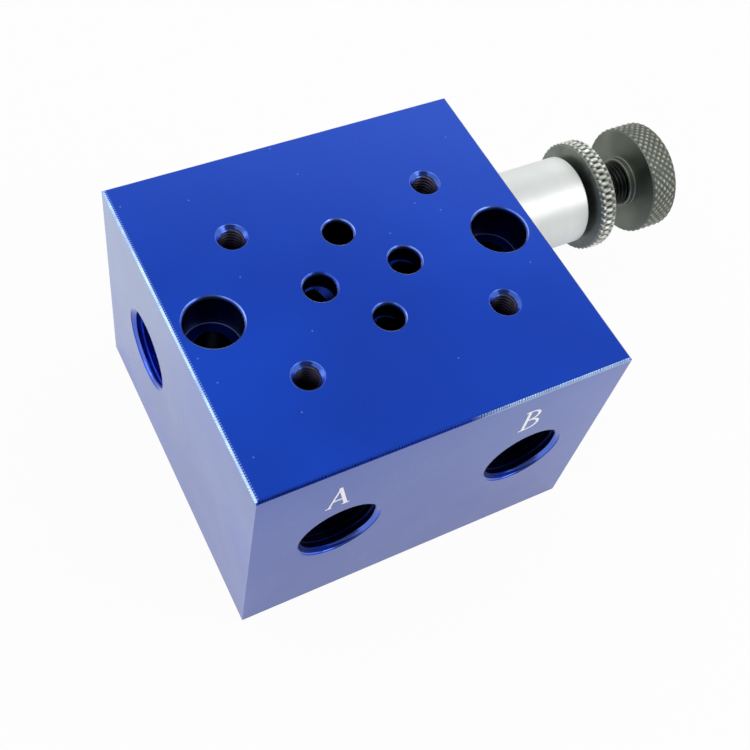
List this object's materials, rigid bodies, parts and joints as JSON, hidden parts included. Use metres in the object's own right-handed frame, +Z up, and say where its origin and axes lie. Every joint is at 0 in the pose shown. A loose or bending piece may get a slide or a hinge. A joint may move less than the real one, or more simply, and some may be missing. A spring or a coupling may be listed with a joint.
{
  "type": "hydraulic manifold block",
  "caption": "Blue anodised hydraulic subplate with a valve mounting face, tapped side ports and a hand-adjusted relief valve with knurled lock ring and knob.",
  "frame": {"origin": "centre of the block's bottom face", "axes": "+X towards the relief valve, -Y out of the face with the two working ports, +Z up out of the valve face"},
  "size_m": [0.1237, 0.07, 0.052],
  "materials": {
    "anodised_blue": "blue anodised, fine milled",
    "bright_steel": "bright zinc plated, fine turned",
    "black_steel": "black oxide, knurled",
    "hardened_steel": "ground",
    "spring_steel": "oil tempered",
    "seal_rubber": "matt black"
  },
  "bodies": {
    "block": {"manifold_block": "anodised_blue", "relief_sleeve": "bright_steel", "sleeve_seal_ring": "seal_rubber", "valve_seat": "hardened_steel", "seat_seal_ring": "seal_rubber", "relief_spring": "spring_steel"},
    "poppet": {"relief_poppet": "hardened_steel"},
    "plunger": {"spring_plunger": "hardened_steel", "plunger_seal_ring": "seal_rubber"},
    "knob": {"adjusting_screw": "black_steel", "adjusting_knob": "black_steel"},
    "ring": {"lock_ring": "black_steel"}
  },
  "joints": [
    {"name": "plunger_travel", "type": "slide", "parent": "block", "child": "plunger", "axis": [1, 0, 0], "range_m": [-0.0045, 0.0015], "deforming": ["relief_spring"]},
    {"name": "knob_turn", "type": "hinge", "parent": "plunger", "child": "knob", "pos_m": [0.08, 0.018, 0.0278], "axis": [1, 0, 0], "range_deg": [-1620, 540]},
    {"name": "lock_ring_turn", "type": "hinge", "parent": "block", "child": "ring", "pos_m": [0.06795, 0.018, 0.0278], "axis": [1, 0, 0], "range_deg": [-540, 1080]},
    {"name": "poppet_lift", "type": "slide", "parent": "block", "child": "poppet", "axis": [1, 0, 0], "range_m": [0, 0.002], "stiffness_N_per_m": 8000, "deforming": ["relief_spring"]}
  ],
  "couplings": [
    {"joint": "knob_turn", "follows": "plunger_travel", "rad_per_m": 6283.2}
  ]
}
